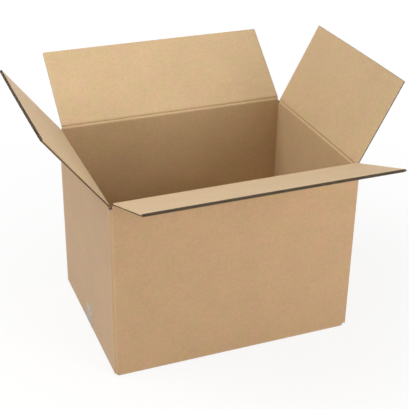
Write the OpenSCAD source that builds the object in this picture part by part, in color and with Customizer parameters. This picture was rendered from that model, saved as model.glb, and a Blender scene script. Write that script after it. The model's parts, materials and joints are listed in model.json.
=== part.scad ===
// Open regular slotted carton of double wall corrugated board.
// The origin is at the middle of the base, on the surface that the carton stands on.
// +Z is up, +X runs along the long front panel and -Y is the front.

/* [Inside of the closed carton] */
// Inside length, along the front panel
inside_length = 635; // [300:1:1000]
// Inside width, from the front panel to the back panel
inside_width = 457; // [250:1:800]
// Inside height, between the closed bottom and top flaps
inside_height = 457; // [200:1:900]

/* [Board] */
// Thickness of the double wall board
board_t = 6.8; // [5:0.1:8]
// Outer radius where the board folds
fold_r = 4; // [1:0.5:5]

/* [Flaps] */
// Width of the slots that part one flap from the next
slot_w = 8; // [4:0.5:14]
// How far each slot runs past the end panels' crease
slot_past_crease = 2; // [0.5:0.5:6]
// Gap between two long flaps where they meet over the middle
meeting_gap = 10; // [1:0.5:20]
// Clearance between two layers of flaps that lie on each other
layer_gap = 0.3; // [0.1:0.1:1]
// Setback of each top flap, and of its panel, from the crease line between them
crease_gap = 0.3; // [0.1:0.05:0.45]
// How much narrower each top flap is than its panel at either side
side_gap = 0.3; // [0.1:0.1:1]
// How far the front flap leans outward from upright, in degrees
front_lean = 69; // [-60:1:160]
// How far the back flap leans outward from upright, in degrees
back_lean = 51; // [-60:1:160]
// How far the left flap leans outward from upright, in degrees
left_lean = 38; // [-60:1:160]
// How far the right flap leans outward from upright, in degrees
right_lean = 28; // [-60:1:160]

/* [Glued corner] */
// Width of the glue lap behind the front panel's right end
lap_w = 35; // [20:1:60]
// Thickness of the lap, which the glue press has squeezed
lap_t = 4.5; // [2:0.1:5]
// How far the lap's two ends slant over its width
lap_slant = 12; // [0:1:30]
// Gap from the lap's ends to the closed end flaps
lap_end_gap = 3; // [1:0.5:10]

/* [Bottom tape] */
// Width of the tape over the bottom seam
tape_w = 50; // [36:1:75]
// Thickness of the tape
tape_t = 0.1; // [0.05:0.01:0.2]
// Height that the tape reaches up each end panel
tape_up = 68; // [40:1:120]

/* [Hidden] */
$fn = 48;
kraft_outside = [0.77, 0.62, 0.44];
kraft_inside = [0.80, 0.66, 0.49];
clear_film = [0.86, 0.85, 0.80, 0.45];
// A cutter reaches this far past the faces that it cuts
past = 1;

outer_length = inside_length + 2 * board_t;
outer_width = inside_width + 2 * board_t;

// The closed end flaps lie inside the closed long flaps, one layer further in at top and bottom
layer_step = board_t + layer_gap;
floor_z = layer_step + board_t;
roof_z = floor_z + inside_height;
end_crease_z = roof_z + board_t;
long_crease_z = end_crease_z + layer_step;

// Each slot is centred on a corner crease, half a board in from the outer faces
slot_inset = (board_t + slot_w) / 2;
long_panel_w = outer_length - 2 * slot_inset;
end_panel_w = outer_width - 2 * slot_inset;

// All flaps end on the straight edge of the flat blank, so those with the further crease are longer
long_flap_l = (outer_width - meeting_gap) / 2;
end_flap_l = long_flap_l + layer_step;

// The corners are whole between the bottom slots and the top slots
corner_low_z = layer_step + slot_past_crease;
corner_high_z = end_crease_z - slot_past_crease;

// What a round fold takes off a square edge at the origin
module fold_relief() {
    difference() {
        square(2 * fold_r, center = true);
        translate([fold_r, fold_r])
            circle(fold_r);
    }
}

// The four panels from above, a tube that is round at three folds and square at the glued corner
module tube_plan() {
    difference() {
        square([outer_length, outer_width], center = true);
        square([inside_length, inside_width], center = true);
        for (turn = [0, 180])
            rotate(turn)
                translate([-outer_length / 2, -outer_width / 2])
                    fold_relief();
        mirror([0, 1])
            translate([-outer_length / 2, -outer_width / 2])
                fold_relief();
    }
}

// The four corners of the tube, which the slots part from the flaps above and below.
// Each reaches into its two panels by half of the top flaps' side gap.
module corner_posts() {
    post_w = slot_inset + side_gap / 2;
    translate([0, 0, corner_low_z])
        linear_extrude(corner_high_z - corner_low_z)
            intersection() {
                tube_plan();
                for (x_side = [-1, 1], y_side = [-1, 1])
                    translate([
                        x_side * (outer_length - post_w) / 2,
                        y_side * (outer_width - post_w) / 2
                    ])
                        square(post_w, center = true);
            }
}

// The groove behind the front panel's raw right end, where the end panel folds in to its glue lap
module raw_end_groove() {
    translate([outer_length / 2, board_t - outer_width / 2, -past])
        linear_extrude(long_crease_z + 2 * past)
            mirror([1, 0])
                intersection() {
                    translate([-past, 0])
                        square(fold_r + past);
                    fold_relief();
                }
}

// A panel and its closed bottom flap, one folded strip that stands on X at y = 0 and faces -Y.
// Its top is cut at 45 degrees, so that the closed top flap meets it in a mitre.
module panel(width, crease_z, under_z, bottom_flap_l) {
    top_z = crease_z - crease_gap;
    translate([-width / 2, 0, 0])
        rotate([90, 0, 90])
            linear_extrude(width)
                difference() {
                    polygon([
                        [0, under_z],
                        [bottom_flap_l, under_z],
                        [bottom_flap_l, under_z + board_t],
                        [board_t, under_z + board_t],
                        [board_t, top_z - board_t],
                        [0, top_z]
                    ]);
                    translate([0, under_z])
                        fold_relief();
                }
}

// A top flap that hinges on X at the origin and leans outward from upright, towards -Y
module top_flap(width, length, lean) {
    rotate([lean, 0, 0])
        translate([-width / 2, 0, 0])
            rotate([90, 0, 90])
                linear_extrude(width)
                    polygon([
                        [0, crease_gap],
                        [board_t, crease_gap + board_t],
                        [board_t, length],
                        [0, length]
                    ]);
}

// Places a piece that faces -Y on the front, or turned round on the back
module on_long_side(turn) {
    rotate([0, 0, turn])
        translate([0, -outer_width / 2, 0])
            children();
}

// Places a piece that faces -Y on the left end, or turned round on the right end
module on_end(turn) {
    rotate([0, 0, turn - 90])
        translate([0, -outer_length / 2, 0])
            children();
}

// A long side's top flap on its crease
module long_top_flap(turn, lean) {
    color(kraft_inside)
        on_long_side(turn)
            translate([0, 0, long_crease_z])
                top_flap(long_panel_w - 2 * side_gap, long_flap_l, lean);
}

// An end's top flap on its crease, which is lower by one layer
module end_top_flap(turn, lean) {
    color(kraft_inside)
        on_end(turn)
            translate([0, 0, end_crease_z])
                top_flap(end_panel_w - 2 * side_gap, end_flap_l, lean);
}

// The glue lap, which the right end panel turns in behind the front panel
module glue_lap() {
    low_z = floor_z + lap_end_gap;
    high_z = roof_z - lap_end_gap;
    translate([inside_length / 2, lap_t - inside_width / 2, 0])
        rotate([90, 0, 0])
            linear_extrude(lap_t)
                polygon([
                    [0, low_z],
                    [0, high_z],
                    [-lap_w, high_z - lap_slant],
                    [-lap_w, low_z + lap_slant]
                ]);
}

// The four panels, the four closed bottom flaps and the glue lap, folded from one sheet
module carton_body() {
    color(kraft_outside)
        difference() {
            union() {
                corner_posts();
                for (turn = [0, 180]) {
                    on_long_side(turn)
                        panel(long_panel_w, long_crease_z, 0, long_flap_l);
                    on_end(turn)
                        panel(end_panel_w, end_crease_z, layer_step, end_flap_l);
                }
                glue_lap();
            }
            raw_end_groove();
            tape_seat();
        }
}

module front_flap() {
    long_top_flap(0, front_lean);
}

module back_flap() {
    long_top_flap(180, back_lean);
}

module left_flap() {
    end_top_flap(0, left_lean);
}

module right_flap() {
    end_top_flap(180, right_lean);
}

// The side view of what the tape wraps, grown outward.
// The tape bridges the step from the long flaps' ends to the fold of the end panel.
module tape_wrap(grow) {
    end_x = outer_length / 2 + grow;
    turn_z = layer_step + fold_r / 2;
    flap_x = long_panel_w / 2 + grow;
    base_z = tape_t - grow;
    polygon([
        [-end_x, tape_up],
        [-end_x, turn_z],
        [-flap_x, base_z],
        [flap_x, base_z],
        [end_x, turn_z],
        [end_x, tape_up]
    ]);
}

// The shallow bed that the carton's weight presses the tape into, flush with the base
module tape_seat() {
    translate([0, 0, (tape_t - past) / 2])
        cube([outer_length, tape_w, tape_t + past], center = true);
}

// The clear tape along the bottom seam and up both end panels
module bottom_tape() {
    color(clear_film)
        translate([0, tape_w / 2, 0])
            rotate([90, 0, 0])
                linear_extrude(tape_w)
                    difference() {
                        tape_wrap(tape_t);
                        tape_wrap(0);
                    }
}

carton_body();
front_flap();
back_flap();
left_flap();
right_flap();
bottom_tape();
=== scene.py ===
"""Dresses the open double wall carton: fluted boards, creases, clear tape, stage, light and camera."""

import json
import math

import bpy
import numpy as np
from mathutils import Matrix, Vector


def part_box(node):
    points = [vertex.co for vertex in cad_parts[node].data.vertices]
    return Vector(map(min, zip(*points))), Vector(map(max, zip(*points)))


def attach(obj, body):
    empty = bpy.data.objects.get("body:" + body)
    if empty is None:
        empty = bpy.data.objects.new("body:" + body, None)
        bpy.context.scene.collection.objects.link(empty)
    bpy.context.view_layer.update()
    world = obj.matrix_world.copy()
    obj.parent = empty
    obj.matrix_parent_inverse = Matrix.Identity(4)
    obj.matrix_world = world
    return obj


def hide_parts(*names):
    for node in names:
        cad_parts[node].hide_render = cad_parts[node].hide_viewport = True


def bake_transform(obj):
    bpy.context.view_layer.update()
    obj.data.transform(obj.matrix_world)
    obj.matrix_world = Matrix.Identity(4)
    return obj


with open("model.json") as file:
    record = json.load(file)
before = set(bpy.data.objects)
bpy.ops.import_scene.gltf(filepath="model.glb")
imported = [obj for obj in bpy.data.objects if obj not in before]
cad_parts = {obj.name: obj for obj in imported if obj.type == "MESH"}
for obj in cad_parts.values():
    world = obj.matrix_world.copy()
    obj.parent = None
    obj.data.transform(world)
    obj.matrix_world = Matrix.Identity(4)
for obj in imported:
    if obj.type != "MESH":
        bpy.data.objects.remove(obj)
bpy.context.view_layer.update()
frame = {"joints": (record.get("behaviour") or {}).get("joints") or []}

bl_info = {
    "name": "Double Wall Carton",
    "version": (1, 0, 0),
    "blender": (4, 5, 0),
    "location": "View3D > Sidebar > Carton",
    "description": "Builds the fluted boards, creases, tape and stage of an open double wall carton",
    "category": "Add Mesh",
}

MM = 0.001
_, BODY_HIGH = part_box("carton_body")
CREASE = {j["child"]: j for j in frame["joints"]}
# A gap too fine to see, which keeps two faces from sharing a plane
HAIR = 0.05 * MM

# Kinds of surface, in the order of each board's material slots. The liners' cut rims and all faces inside the flutes
# are kinds painted with shade.
OUTSIDE, INSIDE, CUT_SHADE, CUT_WAVE, FLUTE_SHADE = 0, 1, 2, 3, 4


class BoardSizes(bpy.types.PropertyGroup):
    """The double wall board and the blank cut from it."""

    board_t: bpy.props.FloatProperty(
        name="Board",
        description="Thickness of the double wall board",
        default=6.8 * MM,
        unit="LENGTH",
        precision=5,
    )
    liner_t: bpy.props.FloatProperty(
        name="Liner",
        description="Thickness of each of the three flat papers",
        default=0.30 * MM,
        unit="LENGTH",
        precision=5,
    )
    wave_t: bpy.props.FloatProperty(
        name="Wave",
        description="Thickness of each of the two waved papers",
        default=0.48 * MM,
        unit="LENGTH",
        precision=5,
    )
    flute_pitch: bpy.props.FloatProperty(
        name="Flute pitch",
        description="Length of one wave of either waved paper",
        default=6.43 * MM,
        unit="LENGTH",
        precision=5,
    )
    slot_w: bpy.props.FloatProperty(
        name="Slot",
        description="Width of the slots between the flaps",
        default=8 * MM,
        unit="LENGTH",
        precision=5,
    )
    slot_past: bpy.props.FloatProperty(
        name="Slot past crease",
        description="How far the slots run past the end panels' creases",
        default=2 * MM,
        unit="LENGTH",
        precision=5,
    )
    fold_r: bpy.props.FloatProperty(
        name="Fold", description="Outer radius of a folded corner", default=4 * MM, unit="LENGTH", precision=5
    )
    layer_gap: bpy.props.FloatProperty(
        name="Layer gap",
        description="Clearance between two layers of flaps",
        default=0.3 * MM,
        unit="LENGTH",
        precision=5,
    )
    crease_gap: bpy.props.FloatProperty(
        name="Crease gap",
        description="Setback of panel and flap from their crease line",
        default=0.3 * MM,
        unit="LENGTH",
        precision=5,
    )
    side_gap: bpy.props.FloatProperty(
        name="Side gap",
        description="How much narrower a top flap is than its panel at either side",
        default=0.3 * MM,
        unit="LENGTH",
        precision=5,
    )
    meeting_gap: bpy.props.FloatProperty(
        name="Meeting gap",
        description="Gap where two long flaps meet",
        default=10 * MM,
        unit="LENGTH",
        precision=5,
    )
    lap_w: bpy.props.FloatProperty(
        name="Lap", description="Width of the glue lap", default=35 * MM, unit="LENGTH", precision=5
    )
    lap_t: bpy.props.FloatProperty(
        name="Lap thickness",
        description="Thickness of the squeezed glue lap",
        default=4.5 * MM,
        unit="LENGTH",
        precision=5,
    )
    lap_slant: bpy.props.FloatProperty(
        name="Lap slant",
        description="How far the lap's ends slant over its width",
        default=12 * MM,
        unit="LENGTH",
        precision=5,
    )
    lap_end_gap: bpy.props.FloatProperty(
        name="Lap end gap",
        description="Gap from the lap's ends to the closed end flaps",
        default=3 * MM,
        unit="LENGTH",
        precision=5,
    )
    bow: bpy.props.FloatProperty(
        name="Bow",
        description="How far the panels bow in at their middle",
        default=1.2 * MM,
        unit="LENGTH",
        precision=5,
    )
    curl: bpy.props.FloatProperty(
        name="Curl",
        description="How far the corners of the top flaps' free edges curl",
        default=1.0 * MM,
        unit="LENGTH",
        precision=5,
    )
    crush: bpy.props.FloatProperty(
        name="Crush",
        description="How far the board is pressed in along its creases",
        default=3.4 * MM,
        unit="LENGTH",
        precision=5,
    )
    pinch: bpy.props.FloatProperty(
        name="Pinch",
        description="Share of the board's thickness lost at the slots' crushed edges",
        default=0.62,
        subtype="FACTOR",
        min=0,
        max=0.8,
    )
    pinch_w: bpy.props.FloatProperty(
        name="Pinch width",
        description="How far in from a slot the board is crushed",
        default=2.5 * MM,
        unit="LENGTH",
        precision=5,
    )
    tape_t: bpy.props.FloatProperty(
        name="Tape", description="Thickness of the clear tape", default=0.1 * MM, unit="LENGTH", precision=5
    )
    tape_tooth: bpy.props.FloatProperty(
        name="Tape teeth",
        description="Depth of the teeth that the cutter leaves on the tape's ends",
        default=1.1 * MM,
        unit="LENGTH",
        precision=5,
    )


class KraftTones(bpy.types.PropertyGroup):
    """The paper's colours, with a dark painted shade for the cut liners and a near-black painted shade inside the
    flutes.
    """

    outside: bpy.props.FloatVectorProperty(
        name="Outside",
        description="Colour of the outer liner",
        default=(0.615, 0.398, 0.216),
        subtype="COLOR",
        min=0,
        max=1,
    )
    inside: bpy.props.FloatVectorProperty(
        name="Inside",
        description="Colour of the inner liner",
        default=(0.555, 0.393, 0.220),
        subtype="COLOR",
        min=0,
        max=1,
    )
    # Nearly black: painted shade on the liners' cut rims of the top flaps and creases
    cut: bpy.props.FloatVectorProperty(
        name="Cut liners",
        description="Colour of the liners' cut edges",
        default=(0.07, 0.048, 0.03),
        subtype="COLOR",
        min=0,
        max=1,
    )
    cut_wave: bpy.props.FloatVectorProperty(
        name="Cut flutes",
        description="Colour of the flutes' cut ends",
        default=(0.46, 0.35, 0.23),
        subtype="COLOR",
        min=0,
        max=1,
    )
    # Near black: painted shade inside the flutes, on both waved papers and on the liners' faces towards them
    waved: bpy.props.FloatVectorProperty(
        name="Waved paper",
        description="Colour inside the flutes",
        default=(0.008, 0.006, 0.004),
        subtype="COLOR",
        min=0,
        max=1,
    )


# ---- shader expressions


class Value:
    """A shader socket that takes part in Python sums, so that an expression on values adds its Math nodes."""

    def __init__(self, shader, socket):
        self.shader = shader
        self.socket = socket

    def _math(self, operation, *values):
        return self.shader.node("ShaderNodeMath", {"operation": operation}, dict(enumerate(values)))

    def __add__(self, other):
        return self._math("ADD", self, other)

    def __sub__(self, other):
        return self._math("SUBTRACT", self, other)

    def __rsub__(self, other):
        return self._math("SUBTRACT", other, self)

    def __mul__(self, other):
        return self._math("MULTIPLY", self, other)

    def __truediv__(self, other):
        return self._math("DIVIDE", self, other)

    def __rtruediv__(self, other):
        return self._math("DIVIDE", other, self)

    __radd__ = __add__
    __rmul__ = __mul__

    def between(self, low, high):
        """0 below low, 1 above high and a smooth step between them."""
        return self.shader.node(
            "ShaderNodeMapRange",
            {"interpolation_type": "SMOOTHSTEP"},
            {"Value": self, "From Min": low, "From Max": high},
        )


class Shader:
    """The node tree of a material or world, to which node() adds any node and returns an output as a Value."""

    def __init__(self, owner):
        owner.use_nodes = True
        self.owner = owner
        self.tree = owner.node_tree
        self.tree.nodes.clear()

    def node(self, kind, settings=None, inputs=None, output=0):
        """Adds a node, sets its settings or a ramp's stops first, then sets or links its sockets by name or number."""
        added = self.tree.nodes.new(kind)
        for name, value in (settings or {}).items():
            if name == "stops":
                ramp = added.color_ramp
                for _ in range(len(value) - len(ramp.elements)):
                    ramp.elements.new(1.0)
                for element, (position, color) in zip(ramp.elements, value):
                    element.position = position
                    element.color = (*color, 1.0)
            else:
                setattr(added, name, value)
        for name, value in (inputs or {}).items():
            if isinstance(value, Value):
                self.tree.links.new(value.socket, added.inputs[name])
            else:
                added.inputs[name].default_value = value
        return Value(self, added.outputs[output]) if added.outputs else None

    def noise(self, place, scale, detail=2.0, roughness=0.5):
        """Soft noise from 0 to 1 at a place."""
        return self.node(
            "ShaderNodeTexNoise",
            {"noise_dimensions": "3D"},
            {"Vector": place, "Scale": scale, "Detail": detail, "Roughness": roughness},
        )

    def stretched(self, place, scale):
        """A place scaled differently along each axis."""
        return self.node("ShaderNodeMapping", {"vector_type": "POINT"}, {"Vector": place, "Scale": scale})

    def mix(self, share, low, high):
        """The colour low where share is 0 and high where it is 1."""
        return self.node(
            "ShaderNodeMix",
            {"data_type": "RGBA", "blend_type": "MIX"},
            {0: share, 6: low, 7: high},
            output=2,
        )

    def larger(self, first, second):
        """The larger of two values."""
        return self.node("ShaderNodeMath", {"operation": "MAXIMUM"}, {0: first, 1: second})

    def seen(self):
        """1 for what the camera sees, also in a gloss or through a film, and 0 for what lights other things."""
        rays = ("Is Camera Ray", "Is Glossy Ray", "Is Transmission Ray")
        camera, glossy, through = (self.node("ShaderNodeLightPath", None, None, output=ray) for ray in rays)
        return self.larger(self.larger(camera, glossy), through)

    def finish(self, surface, output="ShaderNodeOutputMaterial"):
        """Links the surface shader to the output and returns the material or world."""
        self.node(output, None, {"Surface": surface})
        return self.owner


def shade(color, factor):
    """A colour times a factor, with full alpha."""
    return (*[min(1.0, max(0.0, c * factor)) for c in color], 1.0)


def kraft_paper(name, color, pitch):
    """Kraft liner: tan with soft blotches, drawn fibres across the flutes, specks, and faint lines over the flutes.

    The scale of each noise is in cycles per millimetre of the flat sheet.
    """
    s = Shader(bpy.data.materials.new(name))
    sheet = s.node("ShaderNodeUVMap", {"uv_map": "sheet"})
    across = s.node("ShaderNodeSeparateXYZ", None, {0: sheet})
    millimetres = s.stretched(sheet, (1000, 1000, 1000))
    cloud = s.noise(millimetres, 0.011, 3.0, 0.55)
    blotch = s.noise(millimetres, 0.055, 4.0, 0.6)
    fibre = s.noise(s.stretched(millimetres, (0.16, 1.1, 1)), 1.0, 4.0, 0.65)
    speck = s.noise(millimetres, 1.7, 3.0, 0.6)
    grain = s.noise(millimetres, 0.15, 4.0, 0.7)
    wave = s.node("ShaderNodeMath", {"operation": "SINE"}, {0: across * (2 * math.pi / pitch)})
    lines = wave * 0.5 + 0.5
    tone = (cloud - 0.5) * 0.9 + (blotch - 0.5) * 1.1 + (fibre - 0.5) * 1.2 + (grain - 0.5) * 2.2
    tone = tone + (lines - 0.5) * 0.10 + 0.5
    fold = s.node("ShaderNodeAttribute", {"attribute_type": "GEOMETRY", "attribute_name": "fold"}, output=2)
    base = s.mix(tone, shade(color, 0.80), shade(color, 1.20))
    hue = s.noise(millimetres, 0.024, 3.0, 0.6)
    ochre = (color[0] * 0.98, color[1] * 1.02, color[2] * 0.88, 1)
    rose = (color[0] * 1.04, color[1] * 0.95, color[2] * 0.98, 1)
    warm = s.mix(0.55, base, s.mix(hue.between(0.40, 0.60), ochre, rose))
    dark = s.mix(speck.between(0.66, 0.78) * 0.30, warm, shade(color, 0.62))
    pale = s.mix(fibre.between(0.60, 0.78) * 0.25, dark, shade(color, 1.32))
    worn = s.mix(fold * 0.5, pale, shade(color, 1.18))
    height = lines * 0.5 + fibre * 0.16 + speck * 0.10
    bump = s.node("ShaderNodeBump", None, {"Strength": 0.35, "Distance": 0.00022, "Height": height})
    surface = s.node(
        "ShaderNodeBsdfPrincipled",
        None,
        {
            "Base Color": worn,
            "Roughness": 0.60 + (blotch - 0.5) * 0.25,
            "Specular IOR Level": 0.5,
            "Sheen Weight": 0.10,
            "Sheen Roughness": 0.5,
            "Normal": bump,
        },
    )
    return s.finish(surface)


def rough_paper(name, color):
    """Waved paper or a cut edge: fibrous and matt. The near-black waved paper and the dark cut liners are painted
    shade.
    """
    s = Shader(bpy.data.materials.new(name))
    place = s.node("ShaderNodeTexCoord", None, None, output=3)
    fibre = s.noise(s.stretched(place, (1000, 1000, 1000)), 1.3, 4.0, 0.7)
    color_here = s.mix(fibre, shade(color, 0.55), shade(color, 1.35))
    bump = s.node("ShaderNodeBump", None, {"Strength": 0.5, "Distance": 0.0002, "Height": fibre})
    surface = s.node(
        "ShaderNodeBsdfPrincipled",
        None,
        {"Base Color": color_here, "Roughness": 0.9, "Specular IOR Level": 0.2, "Normal": bump},
    )
    return s.finish(surface)


def clear_film(name):
    """Clear packing tape: mostly see-through, glossy, with faint streaks of adhesive."""
    s = Shader(bpy.data.materials.new(name))
    place = s.node("ShaderNodeTexCoord", None, None, output=3)
    streak = s.noise(s.stretched(place, (260, 40, 260)), 1.0, 3.0, 0.6)
    bubble = s.noise(s.stretched(place, (1000, 1000, 1000)), 0.22, 2.0, 0.5)
    bump = s.node("ShaderNodeBump", None, {"Strength": 0.12, "Distance": 0.0003, "Height": bubble + streak})
    film = s.node(
        "ShaderNodeBsdfPrincipled",
        None,
        {
            "Base Color": s.mix(streak, (0.70, 0.68, 0.63, 1), (0.86, 0.85, 0.82, 1)),
            "Roughness": 0.24 + streak * 0.14,
            "Alpha": 0.34 + streak.between(0.4, 0.75) * 0.20,
            "Specular IOR Level": 0.5,
            "Normal": bump,
        },
    )
    return s.finish(film)


# ---- meshes


class Stack:
    """Closed sheets of paper, laid in board space: u across the flutes, v along them and n in from the outside."""

    def __init__(self):
        self.points = []
        self.quads = []
        self.kinds = []
        self.sheet = []
        self.fold = []
        self.count = 0

    def add(self, u, v, low, high, fold_map, kinds, keep=None, fold=None, uv=None):
        """One closed sheet between the depths low and high over the grid u by v.

        Each of the two faces is the grid of points fold_map(u, v, n). Along the border of the cells that keep leaves,
        a strip of quads joins the two faces. Seen from outside, u runs right and v runs up. The kinds are those of the
        outer face, the inner face and the strip.
        """
        u, v = np.asarray(u, float), np.asarray(v, float)
        rows, columns = len(v), len(u)
        uu, vv = np.meshgrid(u, v)
        low, high = np.broadcast_to(low, uu.shape), np.broadcast_to(high, uu.shape)
        outer, inner = fold_map(uu, vv, low), fold_map(uu, vv, high)
        keep = np.ones((rows - 1, columns - 1), bool) if keep is None else keep
        index = np.arange(rows * columns).reshape(rows, columns)
        a, b, c, d = index[:-1, :-1], index[:-1, 1:], index[1:, 1:], index[1:, :-1]
        size = rows * columns
        front = np.stack([a, b, c, d], -1)[keep]
        back = np.stack([a, d, c, b], -1)[keep] + size
        padded = np.zeros((rows + 1, columns + 1), bool)
        padded[1:-1, 1:-1] = keep
        inside = padded[1:-1, 1:-1]
        rims = []
        for shift_r, shift_c, p, q in ((-1, 0, b, a), (1, 0, d, c), (0, -1, a, d), (0, 1, c, b)):
            beyond = padded[1 + shift_r : rows + shift_r, 1 + shift_c : columns + shift_c]
            edge = inside & ~beyond
            p, q = p[edge], q[edge]
            rims.append(np.stack([p, q, q + size, p + size], -1))
        rim = np.concatenate(rims)
        self.points += [outer.reshape(-1, 3), inner.reshape(-1, 3)]
        self.quads += [front + self.count, back + self.count, rim + self.count]
        self.kinds += [np.full(len(front), kinds[0]), np.full(len(back), kinds[1]), np.full(len(rim), kinds[2])]
        uv = np.stack([uu, vv], -1) if uv is None else uv(uu, vv)
        flat = uv.reshape(-1, 2)
        self.sheet += [flat, flat]
        fold = np.zeros(uu.shape) if fold is None else fold(uu, vv)
        self.fold += [fold.ravel(), fold.ravel()]
        self.count += 2 * size

    def make(self, name, materials, smooth_below=35):
        """The mesh object, without the points that no quad uses."""
        points, quads = np.concatenate(self.points), np.concatenate(self.quads)
        kinds = np.concatenate(self.kinds)
        sheet, fold = np.concatenate(self.sheet), np.concatenate(self.fold)
        used, flat = np.unique(quads, return_inverse=True)
        quads = flat.reshape(quads.shape)
        mesh = bpy.data.meshes.new(name)
        mesh.vertices.add(len(used))
        mesh.vertices.foreach_set("co", points[used].astype(np.float32).ravel())
        mesh.loops.add(quads.size)
        mesh.loops.foreach_set("vertex_index", quads.ravel().astype(np.int32))
        mesh.polygons.add(len(quads))
        mesh.polygons.foreach_set("loop_start", np.arange(0, quads.size, 4, dtype=np.int32))
        mesh.polygons.foreach_set("material_index", kinds.astype(np.int32))
        mesh.update(calc_edges=True)
        layer = mesh.uv_layers.new(name="sheet")
        layer.data.foreach_set("uv", sheet[used][quads.ravel()].astype(np.float32).ravel())
        attribute = mesh.attributes.new("fold", "FLOAT", "POINT")
        attribute.data.foreach_set("value", fold[used].astype(np.float32))
        for material in materials:
            mesh.materials.append(material)
        mesh.shade_smooth()
        mesh.set_sharp_from_angle(angle=math.radians(smooth_below))
        mesh.validate()
        thing = bpy.data.objects.new(name, mesh)
        bpy.context.scene.collection.objects.link(thing)
        return thing


# Steps that each wave of the flutes is drawn in
WAVE_STEPS = 10


class Board:
    """Where the five papers of the board lie between its two faces."""

    def __init__(self, sizes):
        t, liner = sizes.board_t, sizes.liner_t
        self.sizes = sizes
        self.t = t
        # Each waved paper's two liners, and the way from its middle to the liner between both
        self.outer, self.inner = (liner, (t - liner) / 2, 1), ((t + liner) / 2, t - liner, -1)
        # The liners' faces towards the flutes are painted near-black as shade, and their cut rims dark as shade
        self.liners = [
            (0.0, liner, (OUTSIDE, FLUTE_SHADE, CUT_SHADE)),
            (self.outer[1], self.inner[0], (FLUTE_SHADE, FLUTE_SHADE, CUT_SHADE)),
            (t - liner, t, (FLUTE_SHADE, INSIDE, CUT_SHADE)),
        ]

    def wave(self, u, band):
        """Outer and inner face of a waved paper: a cosine of u between the band's two liners, thick by its slope.

        The two waves meet the middle liner at the same places.
        """
        low, high, way = band
        thick, pitch = self.sizes.wave_t, self.sizes.flute_pitch
        phase = 2 * np.pi * u / pitch
        reach = way * (high - low - thick) / 2
        middle = (low + high) / 2 + reach * np.cos(phase)
        slope = reach * 2 * np.pi / pitch * np.sin(phase)
        half = thick / 2 * np.sqrt(1 + slope**2)
        return np.maximum(middle - half, low - thick * 0.2), np.minimum(middle + half, high + thick * 0.2)

    def columns(self, start, end):
        """Places from start to end, with WAVE_STEPS in each wave and the two ends themselves."""
        pitch, steps = self.sizes.flute_pitch, WAVE_STEPS
        first, last = math.ceil(start / pitch * steps), math.floor(end / pitch * steps)
        inner = np.arange(first, last + 1) * pitch / steps
        inner = inner[(inner > start + pitch / steps / 4) & (inner < end - pitch / steps / 4)]
        return np.concatenate([[start], inner, [end]])

    def add_flutes(self, stack, part, start, end, v):
        """Both waved papers of the blank or of a flap, over the columns from start to end and the rows v."""
        u = self.columns(start, end)
        for band in (self.outer, self.inner):
            low, high = self.wave(u[None, :], band)
            # Both faces of each waved paper are painted near-black as shade inside the flutes
            stack.add(u, v, low, high, part.place, (FLUTE_SHADE, FLUTE_SHADE, CUT_WAVE), uv=part.metres)

    def pinched(self, n, beside):
        """Depth n in board crushed at an edge: it nears mid depth by a bell curve of the distance beside the edge."""
        share = self.sizes.pinch * np.exp(-((beside / self.sizes.pinch_w) ** 2))
        return self.t / 2 + (n - self.t / 2) * (1 - share)


def kraft_materials(tones, sizes):
    """The outside and inside papers, the cut liners in a dark painted shade, the pale cut flutes and the waved papers
    in a near-black painted shade inside the flutes, made once and shared by every board.
    """
    names = ("kraft_outside", "kraft_inside", "cut_liner", "cut_flute", "waved_paper")
    found = [bpy.data.materials.get(name) for name in names]
    if None in found:
        found = [
            kraft_paper(names[OUTSIDE], tones.outside, sizes.flute_pitch),
            kraft_paper(names[INSIDE], tones.inside, sizes.flute_pitch),
            rough_paper(names[CUT_SHADE], tones.cut),
            rough_paper(names[CUT_WAVE], tones.cut_wave),
            rough_paper(names[FLUTE_SHADE], tones.waved),
        ]
    return found


# ---- the folded blank


def panel_columns(start, end, spacing=30 * MM):
    """Places over a panel from start to end, closer together over the last few millimetres at either end."""
    beside = np.array([0, 1.2, 3, 6, 12]) * MM
    middle = np.linspace(start + beside[-1], end - beside[-1], max(3, round((end - start) / spacing)))
    return np.concatenate([start + beside[:-1], middle, (end - beside[:-1])[::-1]])


def panel_points(panel, a, d, z):
    """The middle of a panel's outer face, plus a times the way to its right and d times the way in, at height z."""
    _, middle, right, inward = panel
    xy = middle + a[..., None] * right + d[..., None] * inward
    return np.concatenate([xy, z[..., None]], -1)


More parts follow.
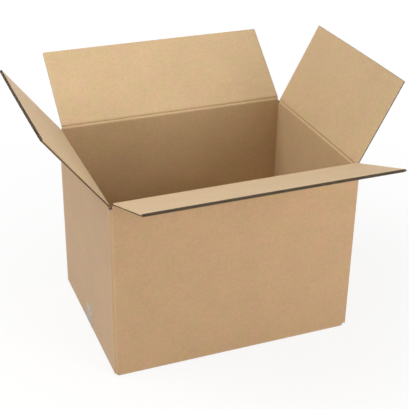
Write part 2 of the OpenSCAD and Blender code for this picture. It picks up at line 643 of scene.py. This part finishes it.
class Blank:
    """The flat sheet of lap, panels and bottom flaps, and how it folds up.

    u runs right round the outside, from the lap's free edge over the four panels to the front panel's raw end.
    v is a row number: 0 to 1 is the bottom flap from its free edge to its fold, 1 to 2 the fold, 2 to 3 the wall up to
    the bottom slots' ends, 3 to 4 the wall between the slots and 4 to 5 the wall up to the top crease.
    """

    def __init__(self, sizes):
        self.sizes = sizes
        self.board = Board(sizes)
        self.half_l, self.half_w = BODY_HIGH.x, BODY_HIGH.y
        self.step = sizes.board_t + sizes.layer_gap
        self.crease_z = {"long": CREASE["front_flap"]["pos_m"][2], "end": CREASE["left_flap"]["pos_m"][2]}
        self.low_z = self.step + sizes.slot_past
        self.high_z = self.crease_z["end"] - sizes.slot_past
        self.flap = {"long": self.half_w - sizes.meeting_gap / 2}
        self.flap["end"] = self.flap["long"] + self.step
        inset = (sizes.board_t + sizes.slot_w) / 2
        self.half = {"end": self.half_w - inset, "long": self.half_l - inset}
        # Each panel: its kind, the middle of its outer face, the way to its right from outside and the way in
        panels = {
            "right": ("end", (self.half_l, 0), (0, 1), (-1, 0)),
            "back": ("long", (0, self.half_w), (-1, 0), (0, -1)),
            "left": ("end", (-self.half_l, 0), (0, -1), (1, 0)),
            "front": ("long", (0, -self.half_w), (1, 0), (0, 1)),
        }
        self.panels = {name: (kind, *map(np.array, plan)) for name, (kind, *plan) in panels.items()}
        self.lap_start = -(self.half_w - sizes.board_t - sizes.fold_r)
        spans = [
            ("lap", sizes.lap_w - sizes.fold_r, self.lap),
            ("lap_fold", 6 * MM, self.lap_fold),
            ("right", self.half["end"] - self.lap_start, self.panel("right", self.lap_start)),
            ("corner_1", sizes.slot_w, self.corner("right", "back")),
            ("back", 2 * self.half["long"], self.panel("back")),
            ("corner_2", sizes.slot_w, self.corner("back", "left")),
            ("left", 2 * self.half["end"], self.panel("left")),
            ("corner_3", sizes.slot_w, self.corner("left", "front")),
            ("front", 2 * self.half["long"], self.panel("front")),
            ("raw_end", inset, self.raw_end),
        ]
        self.names = [name for name, _, _ in spans]
        self.width = np.array([width for _, width, _ in spans])
        self.start = np.concatenate([[0.0], np.cumsum(self.width)[:-1]])
        self.places = [place for _, _, place in spans]

    def span(self, name):
        """Where a part of the blank starts and ends along u."""
        start = self.start[self.names.index(name)]
        return start, start + self.width[self.names.index(name)]

    def radius(self, n):
        """Radius of a fold at depth n: the outer radius less the depth, and never sharp."""
        return np.maximum(self.sizes.fold_r - n, 0.5 * MM)

    def profile(self, v, n, kind):
        """Distance in from the outer face and height, for row v and depth n of a panel of that kind.

        The wall stands at distance n. The fold is a quarter turn of the fold's radius at that depth, and the flap
        lies flat at height n over its underside. The wall's top slopes down by n, as a mitre.
        """
        under = 0.0 if kind == "long" else self.step
        top = self.crease_z[kind] - self.sizes.crease_gap - n
        r = self.radius(n)
        turn = np.clip(v - 1, 0, 1) * np.pi / 2
        flap_d = self.flap[kind] + (n + r - self.flap[kind]) * np.clip(v, 0, 1)
        d = np.where(v <= 1, flap_d, n + r * (1 - np.sin(turn)))
        z = under + n + r * (1 - np.cos(turn))
        foot, high = under + n + r, np.minimum(self.high_z, top)
        low = np.maximum(self.low_z, foot)
        z = np.where(v > 2, foot + (low - foot) * np.clip(v - 2, 0, 1), z)
        z = np.where(v > 3, low + (high - low) * np.clip(v - 3, 0, 1), z)
        z = np.where(v > 4, high + (top - high) * np.clip(v - 4, 0, 1), z)
        return d, z

    def sag(self, share, v):
        """How far a panel's middle bows in: a low hill over the rows 3 to 4, nought along all four edges."""
        across = np.sin(np.pi * np.clip(share, 0, 1)) ** 2
        wall = np.sin(np.pi * np.clip(v - 3, 0, 1)) ** 2
        return self.sizes.bow * across * wall

    def panel(self, name, first=None):
        """The folded place of a panel and its bottom flap, from their left edge at share 0 to their right at 1."""
        kind = self.panels[name][0]
        first = -self.half[kind] if first is None else first

        def place(share, v, n):
            a = first + share * (self.half[kind] - first)
            # Above and below the whole corners the board is crushed beside its slots
            slotted = np.clip(np.abs(v - 3.5) - 0.5, 0, 1)
            n = n + (self.board.pinched(n, self.half[kind] - np.abs(a)) - n) * slotted
            d, z = self.profile(v, n, kind)
            return panel_points(self.panels[name], a, d + self.sag(share, v), z)

        return place

    def post_height(self, v):
        """Height on a corner, which only has the rows 3 to 4."""
        return self.low_z + (self.high_z - self.low_z) * np.clip(v - 3, 0, 1)

    def corner(self, left, right):
        """The folded place of the corner between two panels: straight, a quarter turn by the fold, straight."""
        kind, middle, along, inward = self.panels[left]
        inward_next = self.panels[right][3]
        full = self.half_l if kind == "long" else self.half_w
        inset = full - self.half[kind]
        point = middle + along * full

        def place(share, v, n):
            r = self.radius(n)
            turn = np.clip(share * 3 - 1, 0, 1) * np.pi / 2
            first = np.clip(share * 3, 0, 1)
            last = np.clip(share * 3 - 2, 0, 1)
            near = inset + (n + r - inset) * first
            far = n + r + (inset - n - r) * last
            x = np.where(share * 3 < 1, near, np.where(share * 3 > 2, n, n + r * (1 - np.sin(turn))))
            y = np.where(share * 3 < 1, n, np.where(share * 3 > 2, far, n + r * (1 - np.cos(turn))))
            xy = point + x[..., None] * inward_next + y[..., None] * inward
            return np.concatenate([xy, self.post_height(v)[..., None]], -1)

        return place

    def lap_depth(self, n):
        """Depth in the squeezed lap, behind the front panel."""
        sizes = self.sizes
        return -self.half_w + sizes.board_t + HAIR + n * sizes.lap_t / sizes.board_t

    def lap_height(self, v, slant):
        """Height on the lap, whose ends slant in from the slots by the share slant of its width."""
        sizes = self.sizes
        from_flaps = sizes.board_t + sizes.lap_end_gap + sizes.lap_slant * slant
        low, high = self.step + from_flaps, self.crease_z["end"] - from_flaps
        return low + (high - low) * np.clip(v - 3, 0, 1)

    def lap(self, share, v, n):
        """The lap from its free edge to its fold, flat behind the front panel."""
        sizes = self.sizes
        edge = self.half_l - sizes.board_t - sizes.lap_w
        fold = self.half_l - n - self.radius(n)
        x = edge + (fold - edge) * share
        return np.stack([x, self.lap_depth(n), self.lap_height(v, 1 - share)], -1)

    def lap_fold(self, share, v, n):
        """A quarter turn from the lap out to the right end panel."""
        r, turn = self.radius(n), share * np.pi / 2
        x = self.half_l - n - r + r * np.sin(turn)
        y = self.lap_depth(n) + r * (1 - np.cos(turn))
        y = y + (self.lap_start - self.lap_depth(n) - r) * share**4
        _, beside = self.profile(v, n, "end")
        z = self.lap_height(v, 0) * (1 - share) + beside * share
        return np.stack([x, y, z], -1)

    def raw_end(self, share, v, n):
        """The front panel from its last slot to its raw end at the glued corner."""
        x = self.half["long"] + (self.half_l - self.half["long"]) * share
        return np.stack([x, n - self.half_w, self.post_height(v)], -1)

    def part(self, u):
        """The number of the part of the blank that each u lies in. A panel's two edges count to the panel."""
        low, high = (np.searchsorted(self.start, u + side, "right") - 1 for side in (-0.001 * MM, 0.001 * MM))
        return np.where(np.isin(self.names, list(self.panels))[low], low, high)

    def place(self, u, v, n):
        """The folded place of any point: its part of the blank is found from u, and each part places its own."""
        part = self.part(u)
        share = (u - self.start[part]) / self.width[part]
        out = np.zeros((*u.shape, 3))
        for number in np.unique(part):
            at = part == number
            out[at] = self.places[number](share[at], v[at], n[at])
        return out

    def metres(self, u, v):
        """The flat sheet's own coordinates: u, and v turned to metres, which is the height on the walls."""
        part = self.part(u)
        long = np.isin(part, [self.names.index("back"), self.names.index("front")])
        flap = np.where(long, self.flap["long"], self.flap["end"])
        low = np.where(long, 0.0, self.step)
        top = np.where(long, self.crease_z["long"], self.crease_z["end"])
        height = np.where(v <= 1, low - flap * (1 - v), low + np.clip(v - 1, 0, 1) * self.sizes.fold_r)
        height = np.where(v > 2, low + self.sizes.fold_r + (self.low_z - low - self.sizes.fold_r) * (v - 2), height)
        height = np.where(v > 3, self.post_height(v), height)
        height = np.where(v > 4, self.high_z + (top - self.high_z) * (v - 4), height)
        return np.stack([u, height], -1)

    def wear(self, u, v):
        """1 on a fold, falling off over a few millimetres beside it."""
        out = np.zeros(u.shape)
        for name in ("lap_fold", "corner_1", "corner_2", "corner_3"):
            start, end = self.span(name)
            beside = np.maximum(0, np.maximum(start - u, u - end))
            out = np.maximum(out, np.exp(-((beside / (1.6 * MM)) ** 2)))
        fold = np.abs(v - 1.5) <= 0.5
        return np.where(fold, 1.0, out)


# Rows of the blank's liners: over the bottom flap, its fold and the wall
FLAP_ROWS = np.concatenate([np.linspace(0, 0.94, 8), [0.975, 1.0]])
FOLD_ROWS = 1 + np.linspace(0, 1, 7)[1:]
WALL_ROWS = np.concatenate([[3.0], 3 + np.linspace(0.02, 0.98, 14), [4.0], [5.0]])
# Width of the strip of flutes beside each slot
FLUTE_STRIP = 14 * MM


def blank_and_papers(scene):
    """The blank by the scene's sizes, and its papers."""
    return Blank(scene.board_sizes), kraft_materials(scene.kraft_tones, scene.board_sizes)


class CARTON_OT_body(bpy.types.Operator):
    """Four panels, the glue lap and four bottom flaps, folded from one blank"""

    bl_idname = "carton.body"
    bl_label = "Panels and bottom flaps"

    def execute(self, context):
        blank, papers = blank_and_papers(context.scene)
        board = blank.board
        rows = np.concatenate([FLAP_ROWS, FOLD_ROWS, WALL_ROWS])
        columns = []
        for name, start, width in zip(blank.names, blank.start, blank.width):
            if name in blank.panels:
                columns.append(panel_columns(start, start + width)[:-1])
            elif name == "lap":
                columns.append(start + width * np.linspace(0, 1, 4)[:-1])
            else:
                # A corner is straight, turned and straight, with a step beside each slot's end
                corner = name.startswith("corner")
                share = [0, 0.03, 1 / 3, 0.42, 0.5, 0.58, 2 / 3, 0.97] if corner else np.arange(8) / 8
                columns.append(start + width * np.array(share))
        columns.append([blank.start[-1] + blank.width[-1]])
        columns = np.concatenate(columns)
        middle_u, middle_v = (columns[:-1] + columns[1:]) / 2, (rows[:-1] + rows[1:]) / 2
        on_panel = np.isin(blank.part(middle_u), [blank.names.index(n) for n in blank.panels])
        keep = on_panel[None, :] | ((middle_v > 3) & (middle_v < 4))[:, None]

        walls = Stack()
        for low, high, kinds in board.liners:
            # The knives crush the rims of the slots, so their liners are as pale as the flutes
            rims = (*kinds[:2], CUT_WAVE)
            walls.add(columns, rows, low, high, blank.place, rims, keep, blank.wear, blank.metres)
        # Flutes all over the bottom flaps
        for name in blank.panels:
            board.add_flutes(walls, blank, *blank.span(name), [0, 0.34, 0.67, 1])
        # Flutes behind the cut edges of the slots, the lap and the raw end, and a strip of them beside each slot
        for name in ("lap", "corner_1", "corner_2", "corner_3", "raw_end"):
            board.add_flutes(walls, blank, *blank.span(name), [3, 3.5, 4])
        for name in blank.panels:
            start, end = blank.span(name)
            for strip in ((start, start + FLUTE_STRIP), (end - FLUTE_STRIP, end)):
                board.add_flutes(walls, blank, *strip, [1, 1.25, 1.5, 1.75, 2, 3])
                board.add_flutes(walls, blank, *strip, [3.9, 4, 5])
        made = walls.make("carton_board", papers)
        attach(made, "carton")
        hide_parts("carton_body")
        return {"FINISHED"}


# ---- top flaps and creases


class TopFlap:
    """A top flap, which leans out from its crease, and the strip of crease between it and its panel."""

    def __init__(self, blank, name):
        side = name.removesuffix("_flap")
        self.blank = blank
        self.panel = blank.panels[side]
        self.kind = self.panel[0]
        self.half = blank.half[self.kind] - blank.sizes.side_gap
        self.length = blank.flap[self.kind]
        self.crease_z = blank.crease_z[self.kind]
        # The joint's low limit is the flap lying closed, a right angle inward from upright
        self.lean = math.radians(-CREASE[name]["range_deg"][0] - 90)
        # The right panel's span starts at the lap's fold, so the middle is counted back from its other end
        _, end = blank.span(side)
        self.middle = end - blank.half[self.kind]
        self.ends = self.middle - self.half, self.middle + self.half

    def turned(self, a, d, w):
        """A point at a along the crease, d in from the outer face and w out along the flap, turned by its lean."""
        inward = d * math.cos(self.lean) - w * math.sin(self.lean)
        z = self.crease_z + d * math.sin(self.lean) + w * math.cos(self.lean)
        return panel_points(self.panel, a, inward, z)

    def bow(self, a, w):
        """How far the flap curls: it grows with the square of the height, most at the ends of the free edge.

        The end flaps curl in and the long flaps half as far out, so that they lie free of each other when closed.
        """
        way = 1.0 if self.kind == "end" else -0.5
        return way * self.blank.sizes.curl * (w / self.length) ** 2 * (0.2 + 0.8 * (a / self.half) ** 2)

    def place(self, u, v, n):
        """The board: v is the share of the way from the mitred root to the free edge, which the curl draws in."""
        a = u - self.middle
        n = self.blank.board.pinched(n, self.half - np.abs(a))
        root = self.blank.sizes.crease_gap + n
        w = root + (self.length - root) * v
        bow = self.bow(a, w)
        return self.turned(a, n + bow, w - np.abs(bow))

    def metres(self, u, v):
        """The flat sheet's own coordinates on the flap."""
        return np.stack([u, self.crease_z + self.length * v], -1)

    def crease(self, u, v, n):
        """A paper of the crease: up the panel for v 0 to 1, a turn about the crease line for 1 to 2, and out the flap.

        The turn's radius is the depth n, less a dip where the board is crushed.
        """
        gap = self.blank.sizes.crease_gap
        a = u - self.middle
        n = self.blank.board.pinched(n, self.half - np.abs(a))
        below = -(gap + n) * (1 - np.clip(v, 0, 1))
        beyond = (gap + n) * np.clip(v - 2, 0, 1)
        turn = self.lean * np.clip(v - 1, 0, 1)
        dip = self.blank.sizes.crush * n / self.blank.sizes.board_t * np.sin(np.pi * np.clip(v / 3, 0, 1)) ** 4
        r = n - dip
        # Before the turn r and nought, over it a circle, and beyond it straight on in the flap's own direction
        d = r * np.cos(turn) - beyond * math.sin(self.lean)
        z = below + r * np.sin(turn) + beyond * math.cos(self.lean)
        return panel_points(self.panel, a, d, self.crease_z + z)

    def crease_metres(self, u, v):
        """The flat sheet's own coordinates on the crease, whose three steps are 6 mm long each."""
        return np.stack([u, self.crease_z + (v - 1.5) * 6 * MM], -1)

    def crease_wear(self, u, v):
        """Paper rubbed along the turn."""
        return 0.5 * np.exp(-(((v - 1.5) / 0.6) ** 2))


class CARTON_OT_top_flaps(bpy.types.Operator):
    """Four open top flaps of hollow fluted board"""

    bl_idname = "carton.top_flaps"
    bl_label = "Top flaps"

    def execute(self, context):
        blank, papers = blank_and_papers(context.scene)
        rows = np.array([0, 0.012, 0.03, 0.2, 0.4, 0.6, 0.8, 0.9, 0.96, 1.0])
        for name in CREASE:
            flap = TopFlap(blank, name)
            stack = Stack()
            for low, high, kinds in blank.board.liners:
                stack.add(panel_columns(*flap.ends), rows, low, high, flap.place, kinds, uv=flap.metres)
            blank.board.add_flutes(stack, flap, *flap.ends, rows[[0, 3, 5, 6, 7, 8, 9]])
            made = stack.make(f"{name}_board", papers)
            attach(made, name)
            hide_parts(name)
        return {"FINISHED"}


class CARTON_OT_creases(bpy.types.Operator):
    """The three papers that run on from each panel to its top flap"""

    bl_idname = "carton.creases"
    bl_label = "Top creases"

    def execute(self, context):
        blank, papers = blank_and_papers(context.scene)
        rows = np.concatenate([np.linspace(0, 1, 7)[:-1], np.linspace(1, 2, 11), np.linspace(2, 3, 7)[1:]])
        for name in CREASE:
            flap = TopFlap(blank, name)
            for layer, (low, high, kinds) in zip(("outer", "middle", "inner"), blank.board.liners):
                stack = Stack()
                columns = panel_columns(*flap.ends)
                stack.add(columns, rows, low, high, flap.crease, kinds, None, flap.crease_wear, flap.crease_metres)
                made = stack.make(f"{name}_crease_{layer}", papers, 50)
                ends = flap.crease(np.full(2, flap.middle), np.array([0.0, 3.0]), np.full(2, high))
                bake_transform(made)
        return {"FINISHED"}


# ---- tape


class CARTON_OT_tape(bpy.types.Operator):
    """Clear tape along the bottom seam and up both ends"""

    bl_idname = "carton.tape"
    bl_label = "Bottom tape"

    def execute(self, context):
        sizes = context.scene.board_sizes
        blank = Blank(sizes)
        low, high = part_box("bottom_tape")
        width, top, reach = high.y - low.y, high.z, high.x
        turn_z, flap_x = blank.step + sizes.fold_r / 2, blank.half["long"]
        thick = sizes.tape_t

        def place(u, v, n):
            """Across the tape by u. v runs from one end to the other: down the left end, under and up the right."""
            side = np.sign(v)
            far = np.abs(v)
            # Each tooth is 6 mm wide
            teeth = sizes.tape_tooth * (1 - np.abs((u / (3 * MM)) % 2 - 1))
            up = np.clip(far - 2, 0, 1)
            bridge = np.clip(far - 1, 0, 1)
            x = np.minimum(far, 1) * flap_x + (reach - thick - flap_x) * bridge
            z = turn_z * bridge + (top - turn_z) * up - teeth * (far >= 3)
            x = x + np.where(far > 1, n * 0.999, 0)
            z = z + np.where(far <= 1, thick - n, 0)
            # Slanting wrinkles where the tape climbs the end panels
            wrinkle = 0.05 * MM * np.sin(u * 420 + z * 260) * np.clip(up * 3, 0, 1)
            x = x + wrinkle * (far > 2)
            return np.stack([side * x, u, z], -1)

        half_rows = np.concatenate([[0.5, 0.98, 1], [1.5, 2], 2 + np.linspace(0.04, 1, 16)])
        rows = np.concatenate([-half_rows[::-1], [0.0], half_rows])
        columns = np.linspace(-width / 2, width / 2, 67)
        stack = Stack()
        stack.add(columns, rows, 0.0, thick, lambda u, v, n: place(u, -v, thick - n), (0, 0, 0))
        made = stack.make("tape_film", [clear_film("clear_tape")])
        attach(made, "carton")
        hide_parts("bottom_tape")
        return {"FINISHED"}


# ---- stage

# Each lamp: its name, place, size in metres and power in watts
LAMPS = (
    ("front", (1.6, -3.0, 1.3), 1.8, 61.0),
    ("left", (-3.0, -0.9, 1.7), 2.0, 18.0),
    ("right", (3.0, -0.9, 1.9), 2.0, 18.0),
    ("above_left", (-1.9, 0.3, 3.0), 2.0, 57.0),
    ("above", (0.0, -0.2, 3.6), 2.6, 26.0),
    ("behind", (0.5, 3.2, 1.3), 2.0, 14.0),
)
LAMP_AIM = Vector((0, 0, 0.25))
FLOOR_SIDE = 30.0
# Just under the base
FLOOR_LEVEL = -HAIR


class CARTON_OT_stage(bpy.types.Operator):
    """Floor, daylight, lamps and camera"""

    bl_idname = "carton.stage"
    bl_label = "Stage"

    def execute(self, context):
        scene = context.scene
        scene.view_settings.view_transform = "Standard"
        self.add_floor(scene)
        scene.world = self.daylight()
        for lamp in LAMPS:
            self.add_lamp(scene, *lamp)
        self.add_camera(scene)
        return {"FINISHED"}

    def add_floor(self, scene):
        """A pale floor that takes soft shadows, fades to white further out and is clear from below."""
        s = Shader(bpy.data.materials.new("pale_floor"))
        seen = s.seen()
        place = s.node("ShaderNodeTexCoord", None, None, output=3)
        far = s.node("ShaderNodeVectorMath", {"operation": "LENGTH"}, {0: place}, output=1).between(0.5, 1.5)
        # No glow under the carton, where its seam would let it in
        x, y = (s.node("ShaderNodeSeparateXYZ", None, {0: place}, output=axis) for axis in (0, 1))
        x, y = (s.node("ShaderNodeMath", {"operation": "ABSOLUTE"}, {0: way}) for way in (x, y))
        beside = s.larger(x / BODY_HIGH.x, y / BODY_HIGH.y).between(0.96, 0.98)
        glow = seen * (far * 0.17 + 0.83) * beside
        matt_color = s.mix(seen, (0.48, 0.48, 0.48, 1), (0.95, 0.95, 0.95, 1))
        matt = s.node("ShaderNodeBsdfDiffuse", None, {"Color": matt_color})
        bright = s.node("ShaderNodeEmission", None, {"Color": (1, 1, 1, 1), "Strength": 1.0})
        top = s.node("ShaderNodeMixShader", None, {0: glow, 1: matt, 2: bright})
        below = s.node("ShaderNodeNewGeometry", None, None, output=6)
        clear = s.node("ShaderNodeBsdfTransparent", None, {"Color": (1, 1, 1, 1)})
        mesh = bpy.data.meshes.new("floor")
        side, level = FLOOR_SIDE, FLOOR_LEVEL
        corners = [(-side, -side, level), (side, -side, level), (side, side, level), (-side, side, level)]
        mesh.from_pydata(corners, [], [(0, 1, 2, 3)])
        mesh.materials.append(s.finish(s.node("ShaderNodeMixShader", None, {0: below, 1: top, 2: clear})))
        floor = bpy.data.objects.new("floor", mesh)
        scene.collection.objects.link(floor)

    def daylight(self):
        """A world that lights softly and looks white."""
        s = Shader(bpy.data.worlds.new("daylight"))
        soft = s.node("ShaderNodeBackground", None, {"Color": (1.0, 0.985, 0.965, 1), "Strength": 0.21})
        white = s.node("ShaderNodeBackground", None, {"Color": (1, 1, 1, 1), "Strength": 1.0})
        sky = s.node("ShaderNodeMixShader", None, {0: s.seen(), 1: soft, 2: white})
        return s.finish(sky, "ShaderNodeOutputWorld")

    def add_lamp(self, scene, name, place, size, power):
        """A square soft lamp that faces the carton's middle."""
        lamp = bpy.data.lights.new(name, "AREA")
        lamp.shape = "SQUARE"
        lamp.size = size
        lamp.energy = power
        holder = bpy.data.objects.new(name, lamp)
        holder.location = place
        holder.rotation_mode = "QUATERNION"
        holder.rotation_quaternion = (Vector(place) - LAMP_AIM).to_track_quat("Z", "Y")
        scene.collection.objects.link(holder)

    def add_camera(self, scene):
        """The camera, which looks along its azimuth and elevation and is turned by its roll."""
        azimuth, elevation, roll = (math.radians(angle) for angle in (-21.75, 28.21, 0.92))
        # The focal length in pixels of a frame that is so many pixels wide
        focal_px, frame_px = 1000.3, 409
        # Metres back from the origin, and aside from there
        distance, right_by, up_by = 2.8037, 0.0028, 0.2754
        flat = math.cos(elevation)
        back = Vector((math.sin(azimuth) * flat, -math.cos(azimuth) * flat, math.sin(elevation)))
        right = Vector((math.cos(azimuth), math.sin(azimuth), 0))
        up = back.cross(right)
        eye = back * distance + right * right_by + up * up_by
        across = right * math.cos(roll) + up * math.sin(roll)
        upward = up * math.cos(roll) - right * math.sin(roll)
        data = bpy.data.cameras.new("camera")
        data.sensor_width = 36.0
        data.lens = focal_px / frame_px * data.sensor_width
        data.clip_start, data.clip_end = 0.05, 100
        camera = bpy.data.objects.new("camera", data)
        turn = Matrix((across, upward, back)).transposed().to_4x4()
        camera.matrix_world = Matrix.Translation(eye) @ turn
        scene.collection.objects.link(camera)
        scene.camera = camera


class CARTON_PT_panel(bpy.types.Panel):
    """Lists the carton's pieces"""

    bl_idname = "CARTON_PT_panel"
    bl_label = "Double wall carton"
    bl_space_type = "VIEW_3D"
    bl_region_type = "UI"
    bl_category = "Carton"

    def draw(self, context):
        for operator in OPERATORS:
            self.layout.operator(operator.bl_idname)
        # The first two properties are a group's own type and name
        for group in (context.scene.board_sizes, context.scene.kraft_tones):
            for name in group.bl_rna.properties.keys()[2:]:
                self.layout.prop(group, name)


OPERATORS = (CARTON_OT_body, CARTON_OT_top_flaps, CARTON_OT_creases, CARTON_OT_tape, CARTON_OT_stage)
CLASSES = (BoardSizes, KraftTones, *OPERATORS, CARTON_PT_panel)


def register():
    for item in CLASSES:
        bpy.utils.register_class(item)
    bpy.types.Scene.board_sizes = bpy.props.PointerProperty(type=BoardSizes)
    bpy.types.Scene.kraft_tones = bpy.props.PointerProperty(type=KraftTones)


def unregister():
    del bpy.types.Scene.kraft_tones
    del bpy.types.Scene.board_sizes
    for item in reversed(CLASSES):
        bpy.utils.unregister_class(item)


def main():
    register()
    for operator in OPERATORS:
        group, name = operator.bl_idname.split(".")
        getattr(getattr(bpy.ops, group), name)()


if __name__ == "__main__":
    main()
